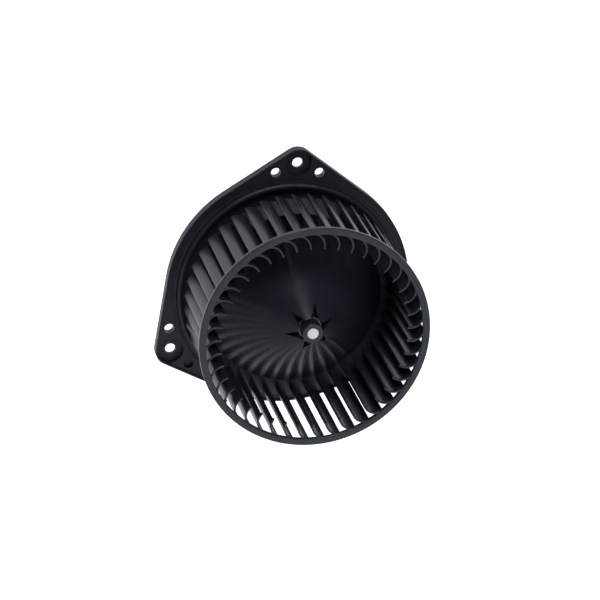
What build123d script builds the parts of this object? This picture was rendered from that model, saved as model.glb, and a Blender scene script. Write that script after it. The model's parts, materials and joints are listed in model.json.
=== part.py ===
from build123d import *
import math
import os

# Heater blower: a squirrel-cage fan wheel on the shaft of a brushed DC motor,
# held in a three-eared mounting flange.
#
# Every piece is built with its axis along +Z, as it stands on a bench with the fan
# uppermost, and save() then lays it down: bench +Z becomes -Y, bench +Y becomes +Z.
# Heights on the bench are measured from the plane where the three ears are clamped,
# so the origin is the centre of the bolt circle in that plane. All sizes are millimetres.

# --- fan wheel ---
BLADES = 43
BLADE_PHASE = 5.45            # angle of the first blade's inner edge, degrees
RIM_R = 75.0
RIM_INNER_R = 70.4
RIM_TOP = 84.8
RIM_H = 3.0
RIM_EDGE_R = 0.5
BLADE_TIP_R = 60.3            # inner edge of the blades
BLADE_BEND_R = 62.8           # where the radial part of a blade starts to curve
BLADE_CURVE_R = 7.9
BLADE_TAIL = 0.5
BLADE_T = 1.5
BLADE_TOP = 84.4
PLATE_R = 69.2
PLATE_BOTTOM = 16.8
PLATE_T = 1.8
CONE_FOOT_R = 58.5
CONE_TOP_R = 8.4              # edge of the well round the hub boss
CONE_SLOPE = 1.09             # rise over run
CONE_WALL = 3.3               # measured along the axis
STAR_POINTS = 6
STAR_TIP_R = 16.35
STAR_ROOT_R = 8.0
STAR_ROOT_W = 5.2
STAR_PHASE = 20.4
STAR_FLOOR = 62.0
HUB_BOTTOM = 58.0
HUB_TOP = 78.2
HUB_R = 6.8
BOSS_CHAMFER = 0.4
CLIP_ANGLE = 257.0            # direction of the hub clip's turned-out ends
CLIP_BLADE = 25               # the blade that carries the balance clip
CLIP_LENGTH = 4.4
CLIP_WALL = 0.7

# --- shaft and armature ---
SHAFT_R = 4.0
SHAFT_TOP = 78.0
SHAFT_BOTTOM = -33.0
SLOTS = 12
CORE_R = 23.5
CORE_BOTTOM = -4.0
CORE_TOP = 30.0
SLOT_CENTRE_R = 17.0
SLOT_R = 3.6
COIL_R = 3.3
INSULATOR_T = 0.8
COMMUTATOR_R = 11.0
COMMUTATOR_TOP = -11.0
COMMUTATOR_BOTTOM = -22.0

# --- motor housing ---
CAN_R = 30.0
CAN_WALL = 2.0
CAN_TOP = 43.0
CAN_BOTTOM = -27.0
NOSE_R = 9.5
NOSE_H = 7.5
BUSH_R = 7.5
BUSH_H = 7.0
RUNNING_GAP = 0.05
MAGNET_INNER_R = 24.2
MAGNET_ARC = 132.0

# --- brush gear ---
BRUSH_W = 6.0
BRUSH_H = 8.0
BRUSH_MIDDLE = -17.0
BRUSH_INNER_R = COMMUTATOR_R + RUNNING_GAP
BRUSH_OUTER_R = 21.0
HOLDER_INNER_R = 13.5
HOLDER_OUTER_R = 26.0
HOLDER_WALL = 0.8
BOARD_TOP = -23.4
BOARD_T = 1.6
BOARD_HOLE_R = 14.0

# --- mounting flange ---
FLANGE_R = 81.0
EARS = 3
EAR_ANGLE = 90.0              # direction of the first ear
BOLT_CIRCLE_R = 86.5
BOLT_HOLE_R = 3.5
EAR_TIP_R = 10.4
SEAT_R = 8.3
SIDE_HOLE_CIRCLE_R = 82.0
SIDE_HOLE_ANGLE = 10.2
SIDE_HOLE_R = 3.25
SKIRT_BOTTOM = -2.6
FACE = 2.9                    # front face of the flange
LIP_TOP = 3.9
LIP_W = 1.2
LIP_EDGE_R = 0.4
BEAD_R = 72.3
BEAD_W = 3.8
BEAD_TOP = 6.4
GROOVE_R = 75.0
GROOVE_W = 1.6
GROOVE_FLOOR = 0.9
FLOOR_R = 70.8
CUP_R = 33.9
CUP_WALL = 2.5
CUP_TOP = 26.0
CUP_BOTTOM = -18.0
CUP_EDGE_R = 0.8
SCREW_CIRCLE_R = 42.0
SCREW_ANGLES = (30, 150, 270)

# --- rear cap, connector and cooling duct ---
CAP_R = 32.0
CAP_TOP = -23.0
CAP_BOTTOM = -40.0
CAP_WALL = 2.0
SOCKET_Y = -17.0
SOCKET_W = 20.0
SOCKET_D = 13.0
SOCKET_WALL = 2.0
SOCKET_BOTTOM = -52.0
TERMINAL_X = 5.0
TERMINAL_T = 0.8
TERMINAL_W = 6.3
TERMINAL_BOTTOM = -49.0
DUCT_X = 52.0
DUCT_R = 5.5
DUCT_BORE_R = 4.0
DUCT_HEIGHT = -33.2
CAP_SCREWS = ((-21.0, 9.0), (21.0, 9.0))


def tube(outer_r, inner_r, bottom, top):
    """A plain ring or, with inner_r 0, a disc between two heights."""
    section = Circle(outer_r) - Circle(inner_r) if inner_r else Circle(outer_r)
    return Pos(0, 0, bottom) * extrude(section, top - bottom)


def block(length, width, bottom, top, x=0.0, y=0.0):
    """A box centred on (x, y) between two heights."""
    return Pos(x, y, bottom) * extrude(Rectangle(length, width), top - bottom)


def turned(points):
    """The solid swept by a closed outline of (radius, height) points about the axis."""
    outline = Polyline(*[(r, 0, z) for r, z in points], close=True)
    return revolve(make_face(outline), Axis.Z)


def around(shape, count, start=0.0):
    """Copies of a shape spaced evenly about the axis."""
    return [Rot(0, 0, start + k * 360 / count) * shape for k in range(count)]


def at_angle(radius, angle):
    """The point at a radius and an angle in degrees."""
    a = math.radians(angle)
    return radius * math.cos(a), radius * math.sin(a)


def save(name, *solids):
    """Lay the piece down into the part's frame and write it."""
    laid = [Rot(90, 0, 0) * solid for solid in solids]
    shape = laid[0] if len(laid) == 1 else Compound(children=laid)
    export_step(shape, f"parts/{name}.step")


def cone_height(radius):
    """Height of the fan's cone at a radius."""
    return PLATE_BOTTOM + PLATE_T + CONE_SLOPE * (CONE_FOOT_R - radius)


# ---------------------------------------------------------------- rotor

def blade_point(turn):
    """The point on a blade's centre line where it has turned by an angle in degrees."""
    a = math.radians(turn)
    return BLADE_BEND_R + BLADE_CURVE_R * math.sin(a), BLADE_CURVE_R * (1 - math.cos(a))


def blade():
    """One forward-curved blade: a radial root, a quarter arc and a short tail."""
    bend = blade_point(0)
    crest = blade_point(90)
    centre_line = (Line((BLADE_TIP_R, 0), bend)
                   + ThreePointArc(bend, blade_point(45), crest)
                   + Line(crest, (crest[0], crest[1] + BLADE_TAIL)))
    section = trace(centre_line, line_width=BLADE_T)
    section += Pos(BLADE_TIP_R, 0) * Circle(BLADE_T / 2)
    foot = PLATE_BOTTOM + PLATE_T
    return Pos(0, 0, foot) * extrude(section, BLADE_TOP - foot)


def star_pocket():
    """The six-pointed pocket round the hub boss."""
    point = make_face(Polyline((STAR_ROOT_R, -STAR_ROOT_W / 2), (STAR_TIP_R, 0),
                               (STAR_ROOT_R, STAR_ROOT_W / 2), (0, 0), close=True))
    section = Circle(CONE_TOP_R) + around(point, STAR_POINTS, STAR_PHASE)
    pocket = Pos(0, 0, STAR_FLOOR) * extrude(section, RIM_TOP - STAR_FLOOR)
    return pocket


def wheel_hub():
    """Back plate, cone and hub boss with its star pocket."""
    plate_top = PLATE_BOTTOM + PLATE_T
    core_r = CONE_FOOT_R - (HUB_BOTTOM + CONE_WALL - plate_top) / CONE_SLOPE
    inner_foot_r = CONE_FOOT_R - (CONE_WALL - PLATE_T) / CONE_SLOPE
    shell = turned([(PLATE_R, PLATE_BOTTOM), (PLATE_R, plate_top), (CONE_FOOT_R, plate_top),
                    (CONE_TOP_R, cone_height(CONE_TOP_R)), (0, cone_height(CONE_TOP_R)),
                    (0, HUB_BOTTOM), (core_r, HUB_BOTTOM), (inner_foot_r, PLATE_BOTTOM)])
    shell -= star_pocket()
    boss = tube(HUB_R, 0, STAR_FLOOR - 1, HUB_TOP)
    shell += chamfer(boss.edges().group_by(Axis.Z)[-1], BOSS_CHAMFER)
    return shell - tube(SHAFT_R, 0, HUB_BOTTOM - 1, RIM_TOP)


def wheel_rim():
    """Ring that ties the blades' open ends together."""
    ring = tube(RIM_R, RIM_INNER_R, RIM_TOP - RIM_H, RIM_TOP)
    return fillet(ring.edges().filter_by(GeomType.CIRCLE), RIM_EDGE_R)


def wheel_blades():
    """The blades, standing on the back plate and let into the rim."""
    ring = tube(RIM_R, RIM_INNER_R, RIM_TOP - RIM_H, RIM_TOP)
    return around(blade() - ring, BLADES, BLADE_PHASE)


def hub_clip():
    """Spring band that squeezes the hub boss onto the shaft, with two turned-out ends."""
    bottom = 64.0
    top = 68.0
    band = tube(HUB_R + 0.8, HUB_R, bottom, top)
    gap = block(3, 1.0, bottom, top, HUB_R + 0.5)
    ends = [block(2.4, 0.8, bottom, top, HUB_R + 1.4, side * 0.9) for side in (-1, 1)]
    return Rot(0, 0, CLIP_ANGLE) * (band - gap + ends)


def balance_clip():
    """Small folded steel clip pushed onto the outer end of one blade, near the rim."""
    crest_x, crest_y = blade_point(90)
    clip = block(BLADE_T + 2 * CLIP_WALL, CLIP_LENGTH, 67.0, 73.0, crest_x, crest_y + BLADE_TAIL)
    return Rot(0, 0, BLADE_PHASE + CLIP_BLADE * 360 / BLADES) * (clip - blade())


def shaft():
    rod = tube(SHAFT_R, 0, SHAFT_BOTTOM, SHAFT_TOP)
    return chamfer(rod.edges(), 0.4)


def lamination(thickness, bottom):
    """A slotted armature disc of any thickness."""
    slot = Pos(SLOT_CENTRE_R, 0) * Circle(SLOT_R) + Pos(SLOT_CENTRE_R + 4, 0) * Rectangle(8, 2)
    section = Circle(CORE_R) - Circle(SHAFT_R) - around(slot, SLOTS)
    return Pos(0, 0, bottom) * extrude(section, thickness)


def armature_winding():
    """Coil sides in the slots, joined by lobed end turns at both ends of the core."""
    low_end = CORE_BOTTOM - INSULATOR_T
    high_end = CORE_TOP + INSULATOR_T
    front = fillet(tube(20.5, 9.5, high_end, 36.5).edges().group_by(Axis.Z)[-1], 2.2)
    rear = fillet(tube(19.5, 9.5, -10.2, low_end).edges().group_by(Axis.Z)[0], 2.2)
    coil = Pos(SLOT_CENTRE_R, 0, 0) * tube(COIL_R, 0, -9.0, 35.0)
    return front + rear + around(coil, SLOTS)


def commutator_bars():
    """Copper bars, each with a hook for its winding."""
    bar_ring = tube(COMMUTATOR_R, 8, COMMUTATOR_BOTTOM, COMMUTATOR_TOP)
    hook_ring = tube(COMMUTATOR_R + 1.4, COMMUTATOR_R - 1, COMMUTATOR_TOP - 1.2, COMMUTATOR_TOP)
    slit = Pos(10.5, 0, 0) * block(9, 0.6, COMMUTATOR_BOTTOM, COMMUTATOR_TOP)
    return (bar_ring + hook_ring - around(slit, SLOTS, 15)).solids()


def rotor():
    save("wheel_hub", wheel_hub())
    save("wheel_rim", wheel_rim())
    save("wheel_blades", *wheel_blades())
    save("hub_clip", hub_clip())
    save("balance_clip", balance_clip())
    save("shaft", shaft())
    save("armature_core", lamination(CORE_TOP - CORE_BOTTOM, CORE_BOTTOM))
    save("front_insulator", lamination(INSULATOR_T, CORE_TOP))
    save("rear_insulator", lamination(INSULATOR_T, CORE_BOTTOM - INSULATOR_T))
    save("armature_winding", armature_winding())
    save("commutator_bars", *commutator_bars())
    save("commutator_hub", tube(8, SHAFT_R, COMMUTATOR_BOTTOM - 0.5, COMMUTATOR_TOP + 0.5))
    save("thrust_washers", tube(7, SHAFT_R, 37.5, 38.7), tube(7, SHAFT_R, -25.2, -24.0))


# ---------------------------------------------------------------- motor

def motor_can():
    """Drawn steel yoke, open at the rear, with a nose for the front bush."""
    body = tube(CAN_R, 0, CAN_BOTTOM, CAN_TOP)
    body = fillet(body.edges().group_by(Axis.Z)[-1], 3.0)
    body += tube(NOSE_R, 0, CAN_TOP - 1, CAN_TOP + NOSE_H)
    body -= tube(CAN_R - CAN_WALL, 0, CAN_BOTTOM, CAN_TOP - CAN_WALL)
    body -= tube(BUSH_R, 0, CAN_TOP - CAN_WALL, CAN_TOP + NOSE_H - 1.5)
    vent = Pos(19, 0, 0) * tube(3, 0, CAN_TOP - 3, CAN_TOP + 1)
    return body - tube(SHAFT_R + 0.6, 0, CAN_TOP, CAN_TOP + NOSE_H) - around(vent, 6)


def end_plate():
    """Steel plate that closes the can, with a nose for the rear bush."""
    plate_bottom = CAN_BOTTOM - 1.5
    plate = tube(CAN_R, 0, plate_bottom, CAN_BOTTOM) + tube(NOSE_R, 0, -36.0, CAN_BOTTOM)
    plate -= tube(BUSH_R, 0, -34.8, CAN_BOTTOM)
    plate -= block(16, 10, plate_bottom, CAN_BOTTOM, 0, SOCKET_Y - 1)
    plate -= [Pos(20 * side, -4, 0) * tube(3, 0, plate_bottom, CAN_BOTTOM) for side in (-1, 1)]
    return plate - [Pos(x, y, 0) * tube(1.5, 0, plate_bottom, CAN_BOTTOM) for x, y in CAP_SCREWS]


def bush(bottom):
    """Sintered bronze bush with chamfered shoulders."""
    body = tube(BUSH_R, 0, bottom, bottom + BUSH_H)
    return chamfer(body.edges(), 1.2) - tube(SHAFT_R + RUNNING_GAP, 0, bottom, bottom + BUSH_H)


def star_washer(bottom):
    """Sprung washer whose fingers press the bush into its nose."""
    finger = block(3.4, 2.4, bottom, bottom + 1.0, 6.6)
    return tube(13, 8, bottom, bottom + 1.0) + around(finger, 6)


def magnet(middle):
    """One ferrite arc glued inside the can."""
    ring = tube(CAN_R - CAN_WALL, MAGNET_INNER_R, -6, 34)
    cutter = tube(40, 0, -6, 34) & block(80, 40, -6, 34, 0, -20)
    half = MAGNET_ARC / 2
    arc = ring - Rot(0, 0, -half) * cutter - Rot(0, 0, 180 + half) * cutter
    return Rot(0, 0, middle) * arc


def magnet_clip(middle):
    """Spring strip wedged between the ends of the two magnets."""
    strip = tube(CAN_R - CAN_WALL, CAN_R - CAN_WALL - 0.8, 0, 28)
    width = 2 * (CAN_R - CAN_WALL) * math.sin(math.radians(20))
    return Rot(0, 0, middle) * (strip & block(10, width, 0, 28, CAN_R - CAN_WALL))


def brush_board():
    """Phenolic board that carries the brush holders, chokes and terminals."""
    board = tube(CAN_R - CAN_WALL, BOARD_HOLE_R, BOARD_TOP - BOARD_T, BOARD_TOP)
    for x in (-TERMINAL_X, TERMINAL_X):
        board -= block(TERMINAL_T, TERMINAL_W, BOARD_TOP - BOARD_T, BOARD_TOP, x, SOCKET_Y)
    return board


def brush_holder():
    """Folded brass box along +X, standing on the board and shut at its outer end."""
    bottom = BRUSH_MIDDLE - BRUSH_H / 2 - RUNNING_GAP
    top = BRUSH_MIDDLE + BRUSH_H / 2 + RUNNING_GAP
    length = HOLDER_OUTER_R - HOLDER_INNER_R
    middle = (HOLDER_OUTER_R + HOLDER_INNER_R) / 2
    width = BRUSH_W + 2 * RUNNING_GAP
    box = block(length, width + 2 * HOLDER_WALL, BOARD_TOP, top + HOLDER_WALL, middle)
    return box - block(length, width, bottom, top, middle - HOLDER_WALL)


def brush():
    """Carbon brush along +X, hollowed to the commutator's radius."""
    length = BRUSH_OUTER_R - COMMUTATOR_R + 1
    body = block(length, BRUSH_W, BRUSH_MIDDLE - BRUSH_H / 2, BRUSH_MIDDLE + BRUSH_H / 2,
                 BRUSH_OUTER_R - length / 2)
    return body - tube(BRUSH_INNER_R, 0, -22, -12)


def brush_spring():
    """Coil spring along +X between a brush and the shut end of its holder."""
    wire_r = 0.25
    start = BRUSH_OUTER_R + 2 * wire_r
    free_length = HOLDER_OUTER_R - HOLDER_WALL - 2 * wire_r - start
    coil = Helix(pitch=free_length / 4, height=free_length, radius=2.0)
    end = Plane(origin=coil @ 0, z_dir=coil % 0)
    wire = sweep(end * Circle(wire_r), path=coil)
    return Pos(start, 0, BRUSH_MIDDLE) * Rot(0, 90, 0) * wire


def choke(angle):
    """Suppression choke: a wound ferrite rod standing on the board."""
    x, y = at_angle(20.5, angle)
    rod = tube(1.6, 0, BOARD_TOP, -11)
    turns = [tube(2.6, 0, BOARD_TOP + 1.0 + k, BOARD_TOP + 1.85 + k) for k in range(9)]
    return Pos(x, y, 0) * (rod + turns)


def terminal(x):
    """Flat blade from the brush board out into the connector."""
    blade_part = block(TERMINAL_T, TERMINAL_W, TERMINAL_BOTTOM, BOARD_TOP + 1.5, x, SOCKET_Y)
    tip = blade_part.edges().group_by(Axis.Z)[0].filter_by(Axis.X)
    return chamfer(tip, 1.2)


def motor():
    save("motor_can", motor_can())
    save("end_plate", end_plate())
    save("front_bush", bush(CAN_TOP - CAN_WALL))
    save("rear_bush", bush(-34.8))
    save("front_bush_retainer", star_washer(CAN_TOP - CAN_WALL - 1.0))
    save("rear_bush_retainer", star_washer(CAN_BOTTOM))
    save("upper_magnet", magnet(90))
    save("lower_magnet", magnet(-90))
    save("magnet_clips", magnet_clip(0), magnet_clip(180))
    save("brush_board", brush_board())
    for side, turn in (("right", 0), ("left", 180)):
        save(f"{side}_brush_holder", Rot(0, 0, turn) * brush_holder())
        save(f"{side}_brush", Rot(0, 0, turn) * brush())
        save(f"{side}_brush_spring", Rot(0, 0, turn) * brush_spring())
    save("suppression_chokes", choke(60), choke(120))
    save("terminals", terminal(-TERMINAL_X), terminal(TERMINAL_X))


# ---------------------------------------------------------------- housing

def flange_outline(inset=0.0):
    """The flange's rounded triangle: a circle with three tangent-sided ears."""
    centre_edge = Circle(FLANGE_R - inset).edge()
    outline = Circle(FLANGE_R - inset)
    for k in range(EARS):
        x, y = at_angle(BOLT_CIRCLE_R, EAR_ANGLE + k * 120)
        ear_edge = (Pos(x, y) * Circle(EAR_TIP_R - inset)).edge()
        outline += make_hull([centre_edge, ear_edge])
    return outline


def bead(radius, width, top):
    """A round-topped rib, concentric with the axis."""
    half = width / 2
    rib = tube(radius + half, radius - half, 0, top)
    return fillet(rib.edges().group_by(Axis.Z)[-1], half * 0.9)


def ear_cuts():
    """The clamping seats, which run out to the lip at the ear tips, and their bolt holes."""
    cuts = []
    seat = Pos(BOLT_CIRCLE_R, 0) * Circle(SEAT_R)
    seat += Pos(BOLT_CIRCLE_R + EAR_TIP_R, 0) * Rectangle(2 * EAR_TIP_R, 2 * SEAT_R)
    inside_lip = flange_outline(LIP_W)
    hole = Pos(BOLT_CIRCLE_R, 0, SKIRT_BOTTOM) * extrude(Circle(BOLT_HOLE_R), LIP_TOP - SKIRT_BOTTOM)
    for k in range(EARS):
        turn = Rot(0, 0, EAR_ANGLE + k * 120)
        cuts += [extrude(turn * seat & inside_lip, LIP_TOP), turn * hole]
    return cuts


def side_holes():
    """Locating holes beside each bolt; one of the six is blind."""
    holes = []
    for k in range(EARS):
        for side in (-1, 1):
            x, y = at_angle(SIDE_HOLE_CIRCLE_R, EAR_ANGLE + k * 120 + side * SIDE_HOLE_ANGLE)
            is_blind = k == 1 and side == 1
            bottom = 0.6 if is_blind else SKIRT_BOTTOM
            holes.append(Pos(x, y, 0) * tube(SIDE_HOLE_R, 0, bottom, LIP_TOP))
    return holes


def mounting_flange():
    """The flange moulding: eared plate, bead, floor, ribs and screw posts."""
    body = Pos(0, 0, SKIRT_BOTTOM) * extrude(flange_outline(), LIP_TOP - SKIRT_BOTTOM)
    body = fillet(body.edges().group_by(Axis.Z)[-1], LIP_EDGE_R)
    body -= Pos(0, 0, FACE) * extrude(flange_outline(LIP_W), LIP_TOP - FACE)
    pocket = flange_outline(2.4) - Circle(66)
    for k in range(EARS):
        for turn, radius, boss_r in ((0, BOLT_CIRCLE_R, EAR_TIP_R),
                                     (-SIDE_HOLE_ANGLE, SIDE_HOLE_CIRCLE_R, SIDE_HOLE_R + 2),
                                     (SIDE_HOLE_ANGLE, SIDE_HOLE_CIRCLE_R, SIDE_HOLE_R + 2)):
            x, y = at_angle(radius, EAR_ANGLE + k * 120 + turn)
            pocket -= Pos(x, y) * Circle(boss_r)
    body -= Pos(0, 0, SKIRT_BOTTOM) * extrude(pocket, 2.0)
    body -= tube(FLOOR_R, 0, 0, LIP_TOP)
    body += bead(BEAD_R, BEAD_W, BEAD_TOP)
    body -= tube(GROOVE_R + GROOVE_W / 2, GROOVE_R - GROOVE_W / 2, GROOVE_FLOOR, LIP_TOP)
    body -= ear_cuts() + side_holes()
    rib = make_face(Polyline((CUP_R - 1, SKIRT_BOTTOM + 0.5), (66, SKIRT_BOTTOM + 0.5),
                             (66, SKIRT_BOTTOM - 1), (CUP_R - 1, SKIRT_BOTTOM - 9), close=True))
    upright = Rot(90, 0, 0) * extrude(rib, 0.9, both=True)
    body += around(upright, 12, 15)
    for angle in SCREW_ANGLES:
        x, y = at_angle(SCREW_CIRCLE_R, angle)
        body += Pos(x, y, 0) * tube(5, 0, CUP_BOTTOM, 0)
        body += Rot(0, 0, angle) * block(8, 2.4, CUP_BOTTOM, 0, CUP_R + 2)
        body -= Pos(x, y, 0) * tube(2, 0, CUP_BOTTOM, -4)
    body -= tube(CUP_R, 0, CUP_BOTTOM, CUP_TOP)
    return body - Pos(DUCT_X, 0, 0) * tube(DUCT_BORE_R, 0, SKIRT_BOTTOM, 0)


def motor_cup():
    """The sleeve through the flange's floor that holds the motor."""
    cup = tube(CUP_R, CUP_R - CUP_WALL, CUP_BOTTOM, CUP_TOP)
    return fillet(cup.edges().group_by(Axis.Z)[-1], CUP_EDGE_R)


def mount_plate():
    """Steel ring welded round the can, with three lobes for the grommets."""
    plate = tube(36.5, CAN_R, -21.4, -20.0)
    for angle in SCREW_ANGLES:
        x, y = at_angle(SCREW_CIRCLE_R, angle)
        arm = Rot(0, 0, angle) * block(9, 14, -21.4, -20.0, SCREW_CIRCLE_R - 4.5)
        plate += arm + Pos(x, y, 0) * tube(7, 0, -21.4, -20.0)
        plate -= Pos(x, y, 0) * tube(4.2, 0, -21.4, -20.0)
    return plate


def grommet(angle):
    """Rubber bobbin that isolates one lobe of the mount plate."""
    x, y = at_angle(SCREW_CIRCLE_R, angle)
    body = tube(6.4, 0, -20.0, CUP_BOTTOM) + tube(6.4, 0, -23.4, -21.4) + tube(4.2, 0, -22, -19)
    return Pos(x, y, 0) * (body - tube(2, 0, -23.4, CUP_BOTTOM))


def screw(x, y, head_bottom, shank_top, shank_r, head_r):
    """Pan-head screw with a cross recess, driven from the rear."""
    head_top = head_bottom + head_r * 0.55
    head = fillet(tube(head_r, 0, head_bottom, head_top).edges().group_by(Axis.Z)[0], head_r * 0.35)
    for turn in (0, 90):
        head -= Rot(0, 0, turn) * block(head_r * 1.1, 0.9, head_bottom, head_bottom + 1.2)
    return Pos(x, y, 0) * (head + tube(shank_r, 0, head_top - 0.1, shank_top))


def rear_cap():
    """Plastic cap over the motor's rear with the connector socket and the air port."""
    cap = tube(CAP_R, 0, CAP_BOTTOM, CAP_TOP)
    cap = fillet(cap.edges().group_by(Axis.Z)[0], 2.5)
    cap -= tube(CAN_R, 0, CAP_BOTTOM + CAP_WALL, CAP_TOP)
    for x, y in CAP_SCREWS:
        cap += Pos(x, y, 0) * tube(3, 0, CAP_BOTTOM + 1, CAN_BOTTOM - 1.5)
        cap -= Pos(x, y, 0) * tube(1.5, 0, CAP_BOTTOM, CAP_TOP)
    socket = block(SOCKET_W, SOCKET_D, SOCKET_BOTTOM, CAP_BOTTOM + 1, 0, SOCKET_Y)
    cap += fillet(socket.edges().filter_by(Axis.Z), 1.5)
    cap -= block(SOCKET_W - 2 * SOCKET_WALL, SOCKET_D - 2 * SOCKET_WALL, SOCKET_BOTTOM,
                 CAP_BOTTOM, 0, SOCKET_Y)
    for x in (-TERMINAL_X, TERMINAL_X):
        cap -= block(TERMINAL_T, TERMINAL_W, CAP_BOTTOM - 1, CAP_BOTTOM + CAP_WALL, x, SOCKET_Y)
    latch = block(7, 2.0, SOCKET_BOTTOM + 1.5, SOCKET_BOTTOM + 4.5, 0, SOCKET_Y - SOCKET_D / 2 - 0.9)
    cap += latch
    return cap - Pos(0, 0, DUCT_HEIGHT) * Rot(0, 90, 0) * Cylinder(
        DUCT_BORE_R, 40, align=(Align.CENTER, Align.CENTER, Align.MIN))


def pipe(radius):
    """A round bar along the duct's line: down from the floor, round, and in to the cap."""
    bend_r = 12.0
    bend_height = DUCT_HEIGHT + bend_r
    bend_x = DUCT_X - bend_r
    drop = Pos(DUCT_X, 0, bend_height) * extrude(Circle(radius), SKIRT_BOTTOM - bend_height)
    corner = revolve(Pos(bend_r, 0) * Circle(radius), Axis.Y, 90)
    run = Pos(CAP_R - 3, 0, DUCT_HEIGHT) * Rot(0, 90, 0) * extrude(Circle(radius), bend_x - CAP_R + 3)
    return drop + Pos(bend_x, 0, bend_height) * corner + run


def cooling_duct():
    """Elbow that brings air from the flange floor to the cap."""
    return pipe(DUCT_R) - pipe(DUCT_BORE_R) - tube(CAP_R, 0, CAP_BOTTOM, CAP_TOP)


def housing():
    save("mounting_flange", mounting_flange())
    save("motor_cup", motor_cup())
    save("flange_seal", tube(GROOVE_R + 0.7, GROOVE_R - 0.7, GROOVE_FLOOR, FACE - 0.6))
    save("front_isolator", tube(CUP_R - CUP_WALL, CAN_R, 16, 23))
    save("mount_plate", mount_plate())
    save("vibration_grommets", *[grommet(angle) for angle in SCREW_ANGLES])
    save("motor_screws", *[screw(*at_angle(SCREW_CIRCLE_R, angle), -25.71, -6, 2.0, 4.2)
                           for angle in SCREW_ANGLES])
    save("rear_cap", rear_cap())
    save("cap_screws", *[screw(x, y, -41.6, -26.5, 1.5, 2.9) for x, y in CAP_SCREWS])
    save("cooling_duct", cooling_duct())


os.makedirs("parts", exist_ok=True)
rotor()
motor()
housing()
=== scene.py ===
import json
import math

import bmesh
import bpy
from mathutils import Matrix, Vector


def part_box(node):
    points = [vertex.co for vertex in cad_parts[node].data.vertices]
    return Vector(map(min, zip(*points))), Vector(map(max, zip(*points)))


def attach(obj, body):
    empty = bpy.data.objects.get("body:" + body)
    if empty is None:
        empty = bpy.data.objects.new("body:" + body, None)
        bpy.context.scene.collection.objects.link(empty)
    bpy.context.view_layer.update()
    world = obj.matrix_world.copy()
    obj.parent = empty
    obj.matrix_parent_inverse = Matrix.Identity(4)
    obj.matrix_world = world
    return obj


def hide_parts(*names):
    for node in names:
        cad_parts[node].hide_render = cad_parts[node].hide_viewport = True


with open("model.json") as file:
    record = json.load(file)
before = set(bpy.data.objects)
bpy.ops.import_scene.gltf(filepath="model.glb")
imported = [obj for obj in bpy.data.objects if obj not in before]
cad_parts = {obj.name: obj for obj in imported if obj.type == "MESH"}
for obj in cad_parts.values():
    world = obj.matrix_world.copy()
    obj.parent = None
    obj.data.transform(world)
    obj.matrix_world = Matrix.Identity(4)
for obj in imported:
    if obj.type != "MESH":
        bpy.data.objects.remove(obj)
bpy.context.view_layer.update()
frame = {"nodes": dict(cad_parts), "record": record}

# The looks of the heater blower: its fan wheel, motor and mounting flange.
# Lengths are metres. "Height" is the distance along the shaft in front of the plane
# where the flange is clamped, so a height h lies at y = -h, and the wheel is at the front.

MM = 0.001
NODES = frame["nodes"]

# ------------------------------------------------------------------ sizes of the fan wheel

# What the boxes of the CAD nodes give.
_, hub_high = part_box("wheel_hub")
rim_low, rim_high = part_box("wheel_rim")
blades_low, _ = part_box("wheel_blades")

RIM_R = rim_high.x
RIM_TOP = -rim_low.y
RIM_BOTTOM = -rim_high.y
PLATE_BOTTOM = -hub_high.y
BLADE_TOP = -blades_low.y

# What a box can't give, as in the CAD.
RIM_WIDTH = 4.6 * MM
PLATE_T = 1.8 * MM
PLATE_TOP = PLATE_BOTTOM + PLATE_T
BLADES = 43
BLADE_PHASE = math.radians(5.45)
BLADE_TIP_R = 60.3 * MM
BLADE_BEND_R = 62.8 * MM
BLADE_CURVE_R = 7.9 * MM
BLADE_TAIL = 0.5 * MM

# What only the finer shapes have.
RIM_EDGE_R = 0.55 * MM
RIM_SEGMENTS = 240
BLADE_FOOT_T = 1.7 * MM
BLADE_TOP_T = 1.3 * MM
BLADE_EDGE_R = 0.35 * MM
BLADE_SUNK = 0.4 * MM
BLADE_STEPS = 18
NIB_LENGTH = 0.9 * MM
NIB_HEIGHT = 2.2 * MM
NIB_SLOPE = 0.5 * MM


def at(radius, angle, height):
    """The point at a radius and an angle (radians) about the shaft, at a height in front of the flange."""
    return Vector((radius * math.cos(angle), -height, radius * math.sin(angle)))


# ------------------------------------------------------------------ materials

def new_material(name):
    """A new node material, its node tree and its Principled shader."""
    material = bpy.data.materials.new(name)
    material.use_nodes = True
    tree = material.node_tree
    tree.nodes.clear()
    output = tree.nodes.new("ShaderNodeOutputMaterial")
    shader = tree.nodes.new("ShaderNodeBsdfPrincipled")
    tree.links.new(shader.outputs["BSDF"], output.inputs["Surface"])
    return material, tree, shader


def place(tree):
    """Object coordinates, in metres, which stay with a piece when it turns."""
    return tree.nodes.new("ShaderNodeTexCoord").outputs["Object"]


def noise(tree, scale, detail=4.0, rough=0.55, vector=None):
    """A noise pattern whose features are about 1 / scale metres across."""
    node = tree.nodes.new("ShaderNodeTexNoise")
    node.inputs["Scale"].default_value = scale
    node.inputs["Detail"].default_value = detail
    node.inputs["Roughness"].default_value = rough
    tree.links.new(vector if vector is not None else place(tree), node.inputs["Vector"])
    return node.outputs["Fac"]


def ramp(tree, value, low, high, start=0.3, end=0.7):
    """Blend two colours by a pattern."""
    node = tree.nodes.new("ShaderNodeValToRGB")
    node.color_ramp.elements[0].position = start
    node.color_ramp.elements[1].position = end
    node.color_ramp.elements[0].color = (*low, 1)
    node.color_ramp.elements[1].color = (*high, 1)
    tree.links.new(value, node.inputs["Fac"])
    return node.outputs["Color"]


def spread(tree, value, low, high):
    """Map a pattern from 0..1 to low..high."""
    node = tree.nodes.new("ShaderNodeMapRange")
    node.inputs["From Min"].default_value = 0.3
    node.inputs["From Max"].default_value = 0.7
    node.inputs["To Min"].default_value = low
    node.inputs["To Max"].default_value = high
    tree.links.new(value, node.inputs["Value"])
    return node.outputs["Result"]


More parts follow.
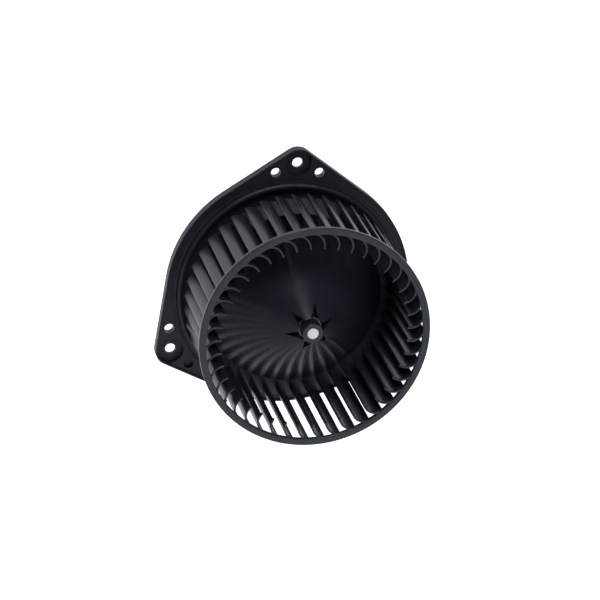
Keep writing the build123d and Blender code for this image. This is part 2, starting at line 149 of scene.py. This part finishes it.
def bump(tree, height, distance, strength, under=None):
    """A bump of a stated depth in metres, laid over another one if given."""
    node = tree.nodes.new("ShaderNodeBump")
    node.inputs["Distance"].default_value = distance
    node.inputs["Strength"].default_value = strength
    tree.links.new(height, node.inputs["Height"])
    if under is not None:
        tree.links.new(under, node.inputs["Normal"])
    return node.outputs["Normal"]


def tint(color, factor):
    """A colour made darker or lighter by a factor."""
    return tuple(min(1.0, c * factor) for c in color)


def plastic(name, color, roughness, grain=0.4, wave=0.5, specular=0.5, mottle=0.05):
    """Moulded plastic: soft flow marks, a fine spark-eroded grain and slight sink waviness."""
    material, tree, shader = new_material(name)
    cloud = noise(tree, 55, 5)
    fine = noise(tree, 2600, 2)
    sink = noise(tree, 90, 2)
    tree.links.new(ramp(tree, cloud, tint(color, 0.82), tint(color, 1.2)), shader.inputs["Base Color"])
    tree.links.new(spread(tree, cloud, roughness - mottle, roughness + mottle), shader.inputs["Roughness"])
    soft = bump(tree, sink, 0.4 * MM, wave * 0.5)
    tree.links.new(bump(tree, fine, 0.03 * MM, grain, soft), shader.inputs["Normal"])
    shader.inputs["Specular IOR Level"].default_value = specular
    return material


def rubber(name, color):
    """Matte moulded rubber with a faint bloom."""
    material, tree, shader = new_material(name)
    bloom = noise(tree, 160, 6, 0.65)
    tree.links.new(ramp(tree, bloom, tint(color, 0.7), tint(color, 1.6)), shader.inputs["Base Color"])
    tree.links.new(spread(tree, bloom, 0.62, 0.8), shader.inputs["Roughness"])
    tree.links.new(bump(tree, noise(tree, 1800, 3), 0.03 * MM, 0.5), shader.inputs["Normal"])
    shader.inputs["Specular IOR Level"].default_value = 0.35
    return material


def metal(name, color, roughness, streak=(1, 1, 1), streak_depth=0.25, patch=0.12):
    """Metal with fine working marks stretched along one axis and a slight patchiness."""
    material, tree, shader = new_material(name)
    mapping = tree.nodes.new("ShaderNodeMapping")
    mapping.inputs["Scale"].default_value = streak
    tree.links.new(place(tree), mapping.inputs["Vector"])
    marks = noise(tree, 2400, 4, 0.6, mapping.outputs["Vector"])
    cloud = noise(tree, 120, 6, 0.6)
    tree.links.new(ramp(tree, cloud, tint(color, 1 - patch), tint(color, 1 + patch)),
                   shader.inputs["Base Color"])
    tree.links.new(spread(tree, marks, roughness - 0.07, roughness + 0.1), shader.inputs["Roughness"])
    tree.links.new(bump(tree, marks, 0.01 * MM, streak_depth), shader.inputs["Normal"])
    shader.inputs["Metallic"].default_value = 1.0
    return material


def grainy(name, color, roughness, speck, size=900):
    """A pressed or sintered solid with a speckled face."""
    material, tree, shader = new_material(name)
    grains = noise(tree, size, 3, 0.7)
    tree.links.new(ramp(tree, grains, color, speck, 0.45, 0.75), shader.inputs["Base Color"])
    tree.links.new(spread(tree, grains, roughness - 0.08, roughness + 0.08), shader.inputs["Roughness"])
    tree.links.new(bump(tree, grains, 0.04 * MM, 0.5), shader.inputs["Normal"])
    return material


MATERIALS = {
    "wheel_plastic": plastic("wheel_plastic", (0.0115, 0.0138, 0.0186), 0.30,
                             grain=0.05, wave=0.12, specular=0.3, mottle=0.015),
    "flange_plastic": plastic("flange_plastic", (0.0080, 0.0095, 0.0127), 0.44,
                              grain=0.5, wave=0.3, specular=0.2),
    "cap_plastic": plastic("cap_plastic", (0.018, 0.0185, 0.02), 0.45, grain=0.5, wave=0.4),
    "rubber": rubber("rubber", (0.012, 0.012, 0.0125)),
    "plated_steel": metal("plated_steel", (0.6, 0.6, 0.585), 0.34, (1, 0.08, 1)),
    "screw_steel": metal("screw_steel", (0.62, 0.6, 0.53), 0.3),
    "shaft_steel": metal("shaft_steel", (0.46, 0.46, 0.47), 0.3, (1, 0.1, 1), 0.15, 0.05),
    "spring_steel": metal("spring_steel", (0.14, 0.145, 0.155), 0.42),
    "bronze": grainy("bronze", (0.34, 0.2, 0.09), 0.5, (0.5, 0.33, 0.17), 1500),
    "brass": metal("brass", (0.74, 0.56, 0.27), 0.32),
    "copper": metal("copper", (0.66, 0.27, 0.13), 0.33, (1, 1, 1), 0.3, 0.2),
    "lamination": metal("lamination", (0.3, 0.3, 0.31), 0.45, (0.05, 1, 0.05), 0.6),
    "ferrite": grainy("ferrite", (0.035, 0.035, 0.038), 0.65, (0.07, 0.07, 0.075)),
    "carbon": grainy("carbon", (0.02, 0.02, 0.022), 0.55, (0.05, 0.05, 0.055), 2200),
    "insulator": grainy("insulator", (0.2, 0.085, 0.03), 0.5, (0.32, 0.16, 0.07), 700),
}

for part in frame["record"]["subparts"]:
    node = NODES[part["node"]]
    node.data.materials.clear()
    node.data.materials.append(MATERIALS[part["material_slot"]])


# ------------------------------------------------------------------ mesh helpers

def finish_piece(name, bm, body, slot, *replaced, smooth_angle=35):
    """Turn a bmesh into a shaded piece that rides on a body and stands for CAD nodes."""
    bmesh.ops.remove_doubles(bm, verts=bm.verts, dist=1e-7)
    bmesh.ops.recalc_face_normals(bm, faces=bm.faces)
    mesh = bpy.data.meshes.new(name)
    bm.to_mesh(mesh)
    bm.free()
    for face in mesh.polygons:
        face.use_smooth = True
    mesh.set_sharp_from_angle(angle=math.radians(smooth_angle))
    mesh.materials.append(MATERIALS[slot])
    piece = bpy.data.objects.new(name, mesh)
    bpy.context.scene.collection.objects.link(piece)
    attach(piece, body)
    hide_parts(*replaced)
    return piece


def rounded(points, radius, steps=4):
    """A closed outline with each corner replaced by an arc of at most that radius."""
    result = []
    count = len(points)
    for k in range(count):
        before = Vector(points[k - 1])
        corner = Vector(points[k])
        after = Vector(points[(k + 1) % count])
        to_before = before - corner
        to_after = after - corner
        turn = math.pi - to_before.angle(to_after)
        if turn < math.radians(3):
            result.append(corner)
            continue
        reach = radius * math.tan(turn / 2)
        limit = 0.45 * min(to_before.length, to_after.length)
        arc_r = radius * min(1.0, limit / reach)
        reach = min(reach, limit)
        start = corner + to_before.normalized() * reach
        end = corner + to_after.normalized() * reach
        centre = corner + (to_before.normalized() + to_after.normalized()).normalized() * (
            arc_r / math.cos(turn / 2))
        for i in range(steps + 1):
            share = i / steps
            point = start.lerp(end, share) - centre
            result.append(centre + point.normalized() * arc_r)
    return result


def lathe(bm, outline, segments):
    """Turn a closed (radius, height) outline about the shaft into quads."""
    rings = []
    for k in range(segments):
        angle = 2 * math.pi * k / segments
        rings.append([bm.verts.new(at(p[0], angle, p[1])) for p in outline])
    for k in range(segments):
        one = rings[k]
        two = rings[(k + 1) % segments]
        for i in range(len(outline)):
            j = (i + 1) % len(outline)
            bm.faces.new((one[i], one[j], two[j], two[i]))


# ------------------------------------------------------------------ fan wheel

def fan_rim():
    """The flat ring that joins the blades' front ends, with rounded edges."""
    bm = bmesh.new()
    inner = RIM_R - RIM_WIDTH
    corners = [(inner, RIM_BOTTOM), (RIM_R, RIM_BOTTOM), (RIM_R, RIM_TOP), (inner, RIM_TOP)]
    lathe(bm, rounded(corners, RIM_EDGE_R), RIM_SEGMENTS)
    return finish_piece("fan_rim", bm, "rotor", "wheel_plastic", "wheel_rim")


def blade_section(thickness, tip_r, inset):
    """Pairs of points on a blade's two faces from its rounded inner tip to its outer end."""
    half = thickness / 2 - inset
    straight = BLADE_BEND_R - tip_r
    curve = BLADE_CURVE_R * math.pi / 2
    length = straight + curve + BLADE_TAIL
    between = length - 2 * inset - 2 * half
    cap = [1 - math.cos(math.radians(a)) for a in (0, 25, 50, 75)]
    stations = [inset + half * c for c in cap]
    stations += [inset + half + between * k / BLADE_STEPS for k in range(BLADE_STEPS + 1)]
    stations += [length - inset - half * c for c in reversed(cap)]
    pairs = []
    for u in stations:
        before = max(0.0, straight - u)
        after = max(0.0, u - straight - curve)
        heading = min(max(0.0, u - straight), curve) / BLADE_CURVE_R
        centre = Vector((BLADE_BEND_R + BLADE_CURVE_R * math.sin(heading) - before,
                         BLADE_CURVE_R * (1 - math.cos(heading)) + after))
        near_end = min(u - inset, length - inset - u, half)
        reach = math.sqrt(max(0.0, half * half - (half - near_end) ** 2))
        side = Vector((-math.sin(heading), math.cos(heading))) * reach
        pairs.append((centre + side, centre - side))
    return pairs


def blade_levels():
    """(height, thickness, tip radius, inset) of each section up a blade, with a nib at its front corner."""
    nib_start = BLADE_TOP - NIB_HEIGHT
    lower_tip_r = BLADE_TIP_R + NIB_LENGTH
    levels = [(PLATE_BOTTOM + BLADE_SUNK, BLADE_FOOT_T, lower_tip_r, 0.0)]
    for share in (0.25, 0.5, 0.75, 1.0):
        height = PLATE_TOP + (nib_start - PLATE_TOP) * share
        thickness = BLADE_FOOT_T + (BLADE_TOP_T - BLADE_FOOT_T) * share
        levels.append((height, thickness, lower_tip_r, 0.0))
    levels.append((nib_start + NIB_SLOPE, BLADE_TOP_T, BLADE_TIP_R, 0.0))
    for degrees in (0, 30, 60, 90):
        a = math.radians(degrees)
        height = BLADE_TOP - BLADE_EDGE_R * (1 - math.sin(a))
        inset = BLADE_EDGE_R * (1 - math.cos(a))
        levels.append((height, BLADE_TOP_T, BLADE_TIP_R, inset))
    return levels


def fan_blades():
    """All the blades: each is a skin round its section at every level, closed at both ends."""
    bm = bmesh.new()
    levels = blade_levels()
    for k in range(BLADES):
        turn = BLADE_PHASE + 2 * math.pi * k / BLADES
        cos_turn = math.cos(turn)
        sin_turn = math.sin(turn)
        rows = []
        for height, thickness, tip_r, inset in levels:
            row = []
            for one, two in blade_section(thickness, tip_r, inset):
                for p in (one, two):
                    x = p.x * cos_turn - p.y * sin_turn
                    z = p.x * sin_turn + p.y * cos_turn
                    row.append(bm.verts.new((x, -height, z)))
            rows.append(row)
        count = len(rows[0]) // 2
        for lower, upper in zip(rows, rows[1:]):
            for i in range(count - 1):
                a, b = 2 * i, 2 * i + 2
                bm.faces.new((lower[a], lower[b], upper[b], upper[a]))
                bm.faces.new((lower[b + 1], lower[a + 1], upper[a + 1], upper[b + 1]))
        for row in (rows[0], rows[-1]):
            for i in range(count - 1):
                a, b = 2 * i, 2 * i + 2
                bm.faces.new((row[a], row[b], row[b + 1], row[a + 1]))
    return finish_piece("fan_blades", bm, "rotor", "wheel_plastic", "wheel_blades", smooth_angle=50)


# ------------------------------------------------------------------ floor, light and camera

def floor():
    """A wide pale sweep: a level floor well below the blower that curves up far behind it.

    It glows a little, and less further up, so it stays pale without a lamp aimed at it.
    """
    bm = bmesh.new()
    half_width = 6.0
    front = -5.0
    level = -0.6
    bend_start = 2.5
    bend_r = 1.0
    bend_steps = 12
    wall = 4.0
    profile = [(front, level), (bend_start, level)]
    for k in range(1, bend_steps + 1):
        a = math.radians(90 * k / bend_steps)
        profile.append((bend_start + bend_r * math.sin(a), level + bend_r * (1 - math.cos(a))))
    profile.append((bend_start + bend_r, level + wall))
    rows = [[bm.verts.new((x, y, z)) for x in (-half_width, half_width)] for y, z in profile]
    for one, two in zip(rows, rows[1:]):
        bm.faces.new((one[0], one[1], two[1], two[0]))
    mesh = bpy.data.meshes.new("floor")
    bm.to_mesh(mesh)
    bm.free()
    for face in mesh.polygons:
        face.use_smooth = True
    material, tree, shader = new_material("pale_floor")
    cloud = noise(tree, 3, 3)
    tree.links.new(ramp(tree, cloud, (0.93, 0.93, 0.93), (0.96, 0.96, 0.96)), shader.inputs["Base Color"])
    shader.inputs["Roughness"].default_value = 0.8
    shader.inputs["Specular IOR Level"].default_value = 0.0
    shader.inputs["Emission Color"].default_value = (0.97, 0.98, 1, 1)
    axes = tree.nodes.new("ShaderNodeSeparateXYZ")
    tree.links.new(place(tree), axes.inputs["Vector"])
    fade = tree.nodes.new("ShaderNodeMapRange")
    fade.inputs["From Min"].default_value = level + 0.1
    fade.inputs["From Max"].default_value = level + 1.0
    fade.inputs["To Min"].default_value = 0.85
    fade.inputs["To Max"].default_value = 0.62
    tree.links.new(axes.outputs["Z"], fade.inputs["Value"])
    tree.links.new(fade.outputs["Result"], shader.inputs["Emission Strength"])
    mesh.materials.append(material)
    sweep = bpy.data.objects.new("floor", mesh)
    bpy.context.scene.collection.objects.link(sweep)


def area_light(name, place_at, aim, width, height, power, color):
    """A soft box at a place, turned towards a point."""
    data = bpy.data.lights.new(name, "AREA")
    data.shape = "RECTANGLE"
    data.size = width
    data.size_y = height
    data.energy = power
    data.color = color
    lamp = bpy.data.objects.new(name, data)
    lamp.location = place_at
    lamp.rotation_mode = "QUATERNION"
    lamp.rotation_quaternion = (Vector(aim) - Vector(place_at)).to_track_quat("-Z", "Y")
    bpy.context.scene.collection.objects.link(lamp)


def studio():
    """Two soft lamps above, a weak one in front at the right, and a faint pale world."""
    middle = (0, -0.03, 0)
    area_light("key_softbox", (-0.15, -1.35, 1.45), middle, 0.7, 0.5, 22, (0.88, 0.94, 1.0))
    area_light("top_softbox", (-0.35, -0.25, 2.0), middle, 0.9, 0.9, 18, (0.82, 0.90, 1.0))
    area_light("front_fill", (0.9, -2.2, 0.4), middle, 1.2, 1.2, 3, (0.92, 0.96, 1.0))
    world = bpy.data.worlds.new("studio")
    world.use_nodes = True
    world.node_tree.nodes["Background"].inputs["Color"].default_value = (0.93, 0.965, 1.0, 1)
    world.node_tree.nodes["Background"].inputs["Strength"].default_value = 0.08
    bpy.context.scene.world = world
    bpy.context.scene.view_settings.view_transform = "Standard"


def camera():
    """Looks at the blower from its left and a little above, with a slight roll."""
    aim = Vector((0.0096, 0.0, -0.0098))
    distance = 2.2417
    azimuth = math.radians(14.48)
    elevation = math.radians(22.45)
    roll = math.radians(5.0)
    back = Vector((-math.sin(azimuth) * math.cos(elevation),
                   -math.cos(azimuth) * math.cos(elevation),
                   math.sin(elevation)))
    data = bpy.data.cameras.new("camera")
    data.lens = 204.86
    data.sensor_width = 36
    data.clip_start = 0.1
    data.clip_end = 50
    eye = bpy.data.objects.new("camera", data)
    eye.rotation_mode = "QUATERNION"
    level = (-back).to_track_quat("-Z", "Y")
    eye.rotation_quaternion = level @ Matrix.Rotation(roll, 3, "Z").to_quaternion()
    eye.location = aim + back * distance
    bpy.context.scene.collection.objects.link(eye)
    bpy.context.scene.camera = eye


camera()
floor()
studio()
fan_rim()
fan_blades()
